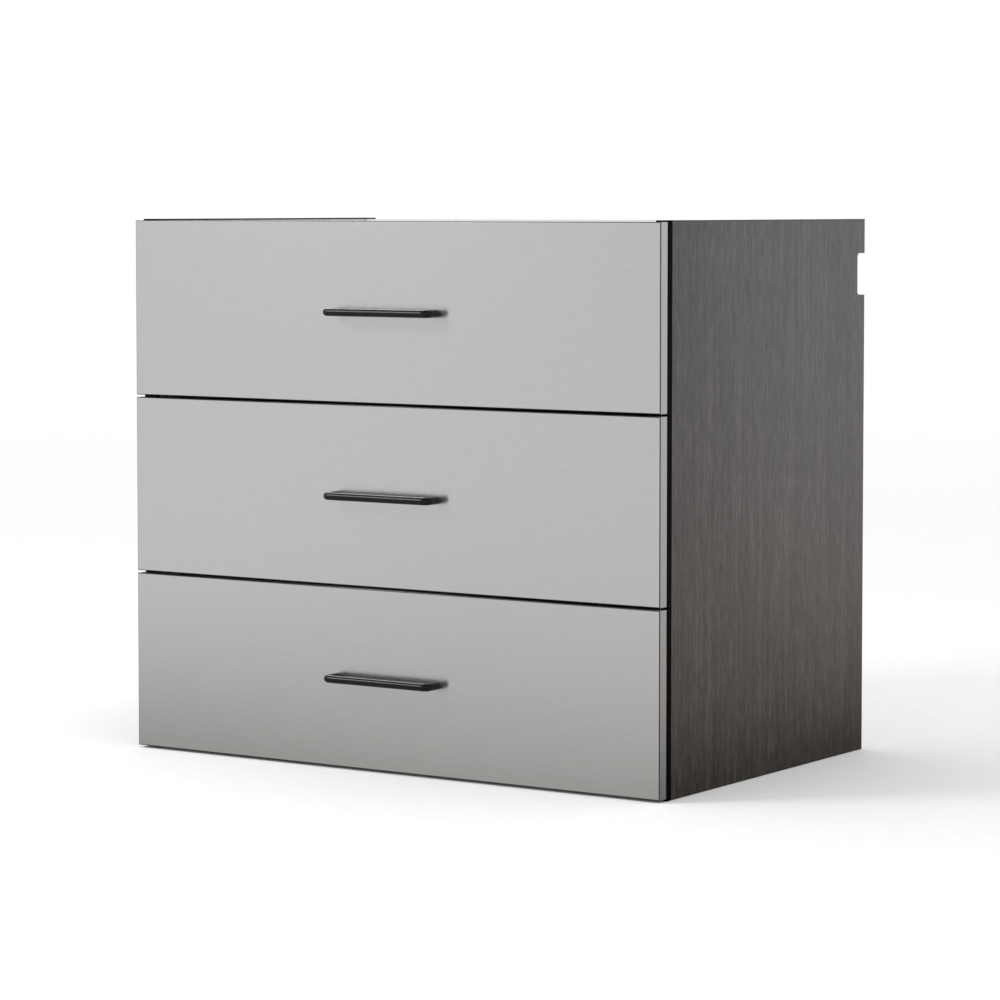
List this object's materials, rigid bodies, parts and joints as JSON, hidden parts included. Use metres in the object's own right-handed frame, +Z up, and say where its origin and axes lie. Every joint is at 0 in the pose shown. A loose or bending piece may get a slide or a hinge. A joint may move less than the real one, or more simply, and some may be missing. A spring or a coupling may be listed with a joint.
{
  "type": "drawer storage cabinet",
  "caption": "Freestanding base cabinet with full-width brushed steel drawer fronts, black bar handles, dark wood-grain sides, an open top for a worktop and ball-bearing drawer slides",
  "frame": {"origin": "centre of the footprint (handles included) on the floor", "axes": "+X to the viewer's right along the drawer fronts, drawer fronts face -Y, +Z up"},
  "size_m": [0.83, 0.56, 0.72],
  "materials": {
    "stainless": "horizontally brushed stainless sheet",
    "handle_black": "satin black powder coat",
    "wood_grain": "dark grey-brown open-grain decor, vertical grain",
    "inner_board": "light grey melamine-faced board",
    "black_edge": "matt black edge band",
    "black_aluminium": "black anodised extrusion",
    "core_board": "raw moisture-resistant fibreboard",
    "box_board": "white-grey melamine-faced board",
    "box_floor": "light grey board",
    "slide_steel": "zinc-plated cold-rolled strip",
    "cage_steel": "zinc-plated retainer and bearing balls",
    "screw_steel": "bright zinc-plated steel",
    "zinc_fitting": "die-cast zinc and steel",
    "beech": "fluted beech dowel",
    "rubber": "soft self-adhesive buffer"
  },
  "bodies": {
    "cabinet": {"side_panel_left": "inner_board", "side_panel_right": "inner_board", "side_decor_left": "wood_grain", "side_decor_right": "wood_grain", "top_bands": "black_edge", "edge_profile_left": "black_aluminium", "edge_profile_right": "black_aluminium", "floor_panel": "inner_board", "back_panel": "inner_board", "rail_front": "inner_board", "rail_rear": "inner_board", "cam_locks": "zinc_fitting", "cam_bolts": "zinc_fitting", "dowels": "beech", "back_screws": "screw_steel", "slide_screws": "screw_steel", "buffers": "rubber", "slide_outer_top": "slide_steel", "slide_outer_middle": "slide_steel", "slide_outer_bottom": "slide_steel"},
    "drawer_top": {"front_core_top": "core_board", "front_skin_top": "stainless", "handle_top": "handle_black", "box_left_top": "box_board", "box_right_top": "box_board", "box_front_top": "box_board", "box_back_top": "box_board", "box_floor_top": "box_floor", "slide_inner_top": "slide_steel", "drawer_screws_top": "screw_steel"},
    "slide_mid_top": {"slide_mid_top": "slide_steel"},
    "ball_cage_outer_top": {"ball_cage_outer_top": "cage_steel"},
    "ball_cage_inner_top": {"ball_cage_inner_top": "cage_steel"},
    "drawer_middle": {"front_core_middle": "core_board", "front_skin_middle": "stainless", "handle_middle": "handle_black", "box_left_middle": "box_board", "box_right_middle": "box_board", "box_front_middle": "box_board", "box_back_middle": "box_board", "box_floor_middle": "box_floor", "slide_inner_middle": "slide_steel", "drawer_screws_middle": "screw_steel"},
    "slide_mid_middle": {"slide_mid_middle": "slide_steel"},
    "ball_cage_outer_middle": {"ball_cage_outer_middle": "cage_steel"},
    "ball_cage_inner_middle": {"ball_cage_inner_middle": "cage_steel"},
    "drawer_bottom": {"front_core_bottom": "core_board", "front_skin_bottom": "stainless", "handle_bottom": "handle_black", "box_left_bottom": "box_board", "box_right_bottom": "box_board", "box_front_bottom": "box_board", "box_back_bottom": "box_board", "box_floor_bottom": "box_floor", "slide_inner_bottom": "slide_steel", "drawer_screws_bottom": "screw_steel"},
    "slide_mid_bottom": {"slide_mid_bottom": "slide_steel"},
    "ball_cage_outer_bottom": {"ball_cage_outer_bottom": "cage_steel"},
    "ball_cage_inner_bottom": {"ball_cage_inner_bottom": "cage_steel"}
  },
  "joints": [
    {"name": "drawer_top_slide", "type": "slide", "parent": "cabinet", "child": "drawer_top", "axis": [0, -1, 0], "range_m": [0, 0.45]},
    {"name": "slide_mid_top_travel", "type": "slide", "parent": "cabinet", "child": "slide_mid_top", "axis": [0, -1, 0], "range_m": [0, 0.225]},
    {"name": "ball_cage_outer_top_travel", "type": "slide", "parent": "cabinet", "child": "ball_cage_outer_top", "axis": [0, -1, 0], "range_m": [0, 0.1125]},
    {"name": "ball_cage_inner_top_travel", "type": "slide", "parent": "cabinet", "child": "ball_cage_inner_top", "axis": [0, -1, 0], "range_m": [0, 0.3375]},
    {"name": "drawer_middle_slide", "type": "slide", "parent": "cabinet", "child": "drawer_middle", "axis": [0, -1, 0], "range_m": [0, 0.45]},
    {"name": "slide_mid_middle_travel", "type": "slide", "parent": "cabinet", "child": "slide_mid_middle", "axis": [0, -1, 0], "range_m": [0, 0.225]},
    {"name": "ball_cage_outer_middle_travel", "type": "slide", "parent": "cabinet", "child": "ball_cage_outer_middle", "axis": [0, -1, 0], "range_m": [0, 0.1125]},
    {"name": "ball_cage_inner_middle_travel", "type": "slide", "parent": "cabinet", "child": "ball_cage_inner_middle", "axis": [0, -1, 0], "range_m": [0, 0.3375]},
    {"name": "drawer_bottom_slide", "type": "slide", "parent": "cabinet", "child": "drawer_bottom", "axis": [0, -1, 0], "range_m": [0, 0.45]},
    {"name": "slide_mid_bottom_travel", "type": "slide", "parent": "cabinet", "child": "slide_mid_bottom", "axis": [0, -1, 0], "range_m": [0, 0.225]},
    {"name": "ball_cage_outer_bottom_travel", "type": "slide", "parent": "cabinet", "child": "ball_cage_outer_bottom", "axis": [0, -1, 0], "range_m": [0, 0.1125]},
    {"name": "ball_cage_inner_bottom_travel", "type": "slide", "parent": "cabinet", "child": "ball_cage_inner_bottom", "axis": [0, -1, 0], "range_m": [0, 0.3375]}
  ],
  "couplings": [
    {"joint": "slide_mid_top_travel", "follows": "drawer_top_slide", "ratio": 0.5},
    {"joint": "ball_cage_outer_top_travel", "follows": "drawer_top_slide", "ratio": 0.25},
    {"joint": "ball_cage_inner_top_travel", "follows": "drawer_top_slide", "ratio": 0.75},
    {"joint": "slide_mid_middle_travel", "follows": "drawer_middle_slide", "ratio": 0.5},
    {"joint": "ball_cage_outer_middle_travel", "follows": "drawer_middle_slide", "ratio": 0.25},
    {"joint": "ball_cage_inner_middle_travel", "follows": "drawer_middle_slide", "ratio": 0.75},
    {"joint": "slide_mid_bottom_travel", "follows": "drawer_bottom_slide", "ratio": 0.5},
    {"joint": "ball_cage_outer_bottom_travel", "follows": "drawer_bottom_slide", "ratio": 0.25},
    {"joint": "ball_cage_inner_bottom_travel", "follows": "drawer_bottom_slide", "ratio": 0.75}
  ]
}
